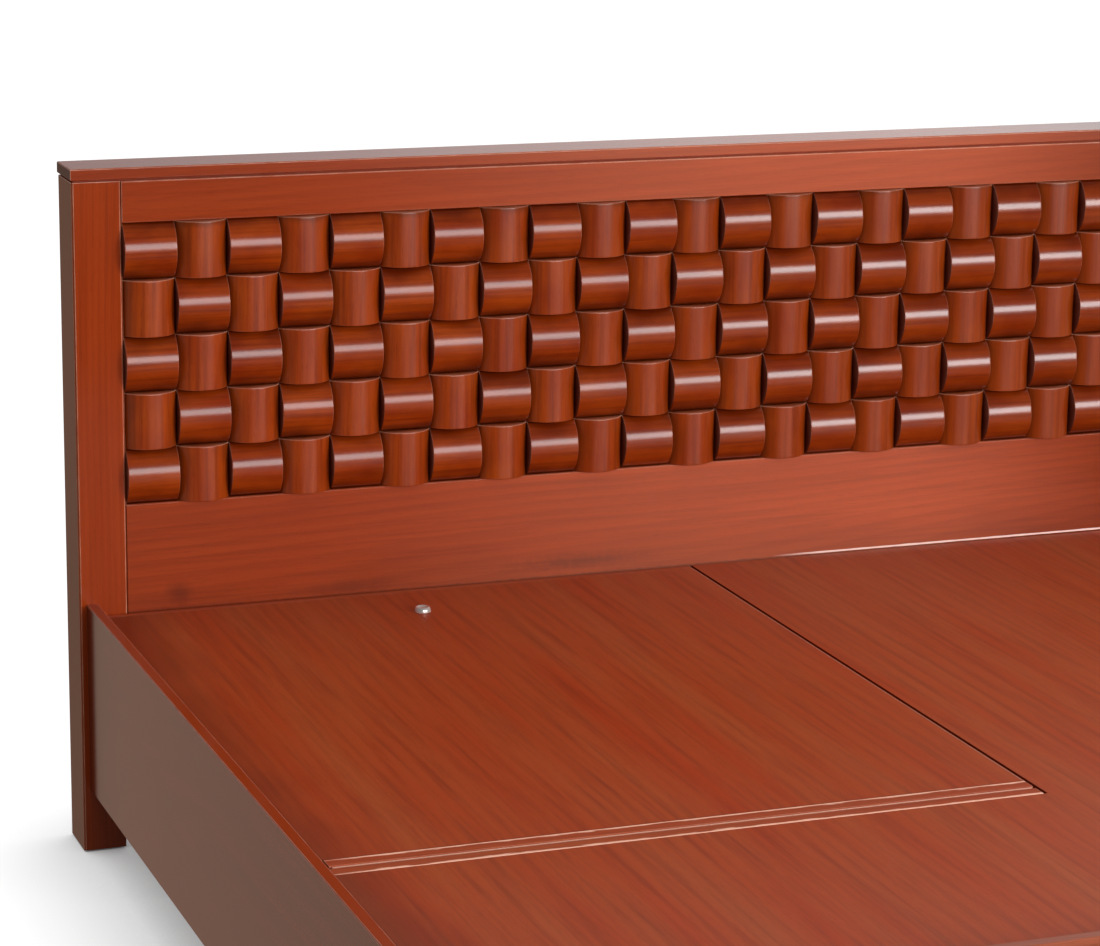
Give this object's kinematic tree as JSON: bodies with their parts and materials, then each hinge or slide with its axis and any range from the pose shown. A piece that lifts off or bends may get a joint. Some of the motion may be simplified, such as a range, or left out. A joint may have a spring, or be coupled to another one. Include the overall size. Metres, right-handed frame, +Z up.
{
  "type": "storage bed",
  "caption": "Wide low storage bed in reddish stained wood, with a woven-block headboard, a flat deck inside raised rails and a lift-up hinged lid over a storage box.",
  "frame": {"origin": "on the floor under the middle of the bed's outline", "axes": "+Z up, +Y from the foot rail towards the headboard, +X to the right seen from the foot"},
  "size_m": [2.191, 1.957, 1.158],
  "materials": {
    "front_wood": "reddish stain under gloss lacquer",
    "side_wood": "brown stain under satin lacquer",
    "deck_wood": "reddish-brown stain under gloss lacquer",
    "dark_wood": "dark stain under satin lacquer",
    "pine": "bare planed softwood and plywood",
    "plated_steel": "zinc plated",
    "polished_steel": "polished",
    "black_steel": "black paint",
    "glide_plastic": "matte black"
  },
  "bodies": {
    "frame": {"post_left": "front_wood", "post_right": "front_wood", "head_cap": "front_wood", "cap_strip": "dark_wood", "top_rail": "front_wood", "lower_rail": "front_wood", "head_apron": "dark_wood", "weave_panel": "dark_wood", "weave_row_1_across": "front_wood", "weave_row_1_upright": "front_wood", "weave_row_2_across": "front_wood", "weave_row_2_upright": "front_wood", "weave_row_3_across": "front_wood", "weave_row_3_upright": "front_wood", "weave_row_4_across": "front_wood", "weave_row_4_upright": "front_wood", "weave_row_5_across": "front_wood", "weave_row_5_upright": "front_wood", "back_skin": "dark_wood", "back_skin_screws": "plated_steel", "back_battens": "pine", "dowels": "pine", "side_rail_left": "side_wood", "side_rail_right": "side_wood", "foot_rail": "front_wood", "foot_leg_left": "dark_wood", "foot_leg_right": "dark_wood", "leg_screws": "plated_steel", "centre_divider": "pine", "cross_rail_left": "pine", "cross_rail_right": "pine", "side_cleats": "pine", "end_cleats": "pine", "divider_cleats": "pine", "cross_cleats": "pine", "cleat_screws": "plated_steel", "storage_floor": "pine", "floor_cleats": "pine", "floor_screws": "plated_steel", "bed_bracket_left": "black_steel", "bed_bracket_right": "black_steel", "bracket_screws": "plated_steel", "centre_legs": "dark_wood", "glides": "glide_plastic", "deck_right": "deck_wood", "deck_front_left": "deck_wood", "deck_screws": "plated_steel", "deck_edging": "front_wood", "hinge_leaf_deck": "plated_steel", "hinge_pin": "plated_steel", "hinge_screws_deck": "plated_steel"},
    "lid": {"lid_panel": "deck_wood", "lid_edging_front": "front_wood", "lid_edging_rear": "front_wood", "lid_battens": "pine", "lid_batten_screws": "plated_steel", "lid_knob": "polished_steel", "knob_screw": "plated_steel", "hinge_leaf_lid": "plated_steel", "hinge_screws_lid": "plated_steel"}
  },
  "joints": [
    {"name": "lid_hinge", "type": "hinge", "parent": "frame", "child": "lid", "pos_m": [-0.531, -0.3915, 0.409], "axis": [1, 0, 0], "range_deg": [0, 110]}
  ]
}
